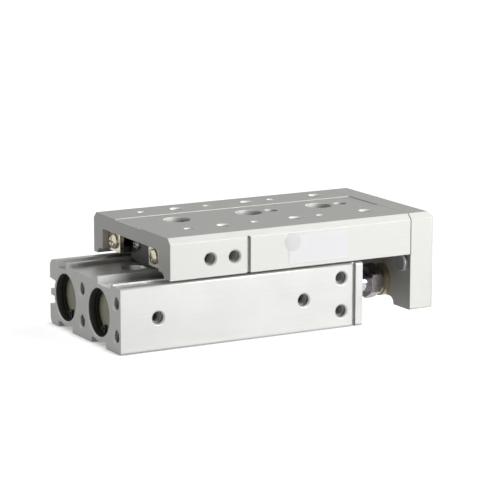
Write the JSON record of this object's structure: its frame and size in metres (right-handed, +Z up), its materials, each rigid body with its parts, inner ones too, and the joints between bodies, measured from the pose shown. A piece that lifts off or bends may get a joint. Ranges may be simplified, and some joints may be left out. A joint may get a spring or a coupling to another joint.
{
  "type": "pneumatic slide table",
  "caption": "Twin-rod air cylinder body with a table that slides along it on a cross-roller guide, tied to the rods by an end plate.",
  "frame": {"origin": "centre of the body's bottom face", "axes": "+X along the slide, the way the table extends; +Y towards the sensor grooves; +Z up through the table's top"},
  "size_m": [0.1295, 0.0621, 0.04],
  "materials": {
    "body_aluminium": "clear anodised, drawn lines along the body",
    "table_aluminium": "clear anodised, ground faces",
    "cap_resin": "moulded olive grey resin",
    "nitrile_rubber": "moulded black rubber",
    "black_spring_steel": "black phosphated",
    "brass": "turned",
    "urethane": "moulded",
    "guide_steel": "hardened and ground",
    "black_resin": "moulded",
    "black_oxide_steel": "black oxide",
    "zinc_steel": "bright zinc",
    "nickel_steel": "nickel plated",
    "hard_chrome": "hard chromed and polished",
    "bearing_steel": "ground",
    "piston_aluminium": "turned",
    "magnet": "bonded ferrite",
    "stainless_steel": "turned",
    "bush_bronze": "turned, olive bronze",
    "stop_resin": "moulded",
    "label_film": "white film, bare"
  },
  "bodies": {
    "base": {"body": "body_aluminium", "head_cap_near": "cap_resin", "head_cap_far": "cap_resin", "head_cap_ring_near": "nitrile_rubber", "head_cap_ring_far": "nitrile_rubber", "rear_retaining_ring_near": "black_spring_steel", "rear_retaining_ring_far": "black_spring_steel", "rod_cover_near": "brass", "rod_cover_far": "brass", "rod_cover_ring_near": "nitrile_rubber", "rod_cover_ring_far": "nitrile_rubber", "rod_seal_near": "nitrile_rubber", "rod_seal_far": "nitrile_rubber", "rod_bumper_near": "urethane", "rod_bumper_far": "urethane", "front_retaining_ring_near": "black_spring_steel", "front_retaining_ring_far": "black_spring_steel", "guide_block": "guide_steel", "guide_block_bolts": "black_oxide_steel", "guide_end_plate_rear": "black_resin", "guide_end_plate_front": "black_resin", "guide_end_screws": "zinc_steel"},
    "slide": {"table": "table_aluminium", "end_plate": "table_aluminium", "end_plate_bolts": "black_oxide_steel", "rail_near": "guide_steel", "rail_far": "guide_steel", "rail_screws": "black_oxide_steel", "roller_stopper_rear_near": "nickel_steel", "roller_stopper_rear_far": "nickel_steel", "roller_stopper_front_near": "nickel_steel", "roller_stopper_front_far": "nickel_steel", "stopper_screws": "nickel_steel", "piston_rod_near": "hard_chrome", "piston_rod_far": "hard_chrome", "piston_near": "piston_aluminium", "piston_far": "piston_aluminium", "piston_seal_near": "nitrile_rubber", "piston_seal_far": "nitrile_rubber", "piston_magnet_near": "magnet", "piston_magnet_far": "magnet", "rod_collar_near": "stainless_steel", "rod_collar_far": "stainless_steel", "rod_washer_near": "stainless_steel", "rod_washer_far": "stainless_steel", "floating_bush_near": "bush_bronze", "floating_bush_far": "bush_bronze", "rod_end_bolts": "black_oxide_steel", "stop_screw": "zinc_steel", "stop_bumper": "stop_resin", "name_label": "label_film"},
    "cages": {"roller_cage_near": "black_resin", "roller_cage_far": "black_resin", "rollers_near": "bearing_steel", "rollers_far": "bearing_steel"}
  },
  "joints": [
    {"name": "table_slide", "type": "slide", "parent": "base", "child": "slide", "axis": [1, 0, 0], "range_m": [-0.0177, 0.0323]},
    {"name": "cage_travel", "type": "slide", "parent": "base", "child": "cages", "axis": [1, 0, 0], "range_m": [-0.0089, 0.0162]}
  ],
  "couplings": [
    {"joint": "cage_travel", "follows": "table_slide", "ratio": 0.5}
  ]
}
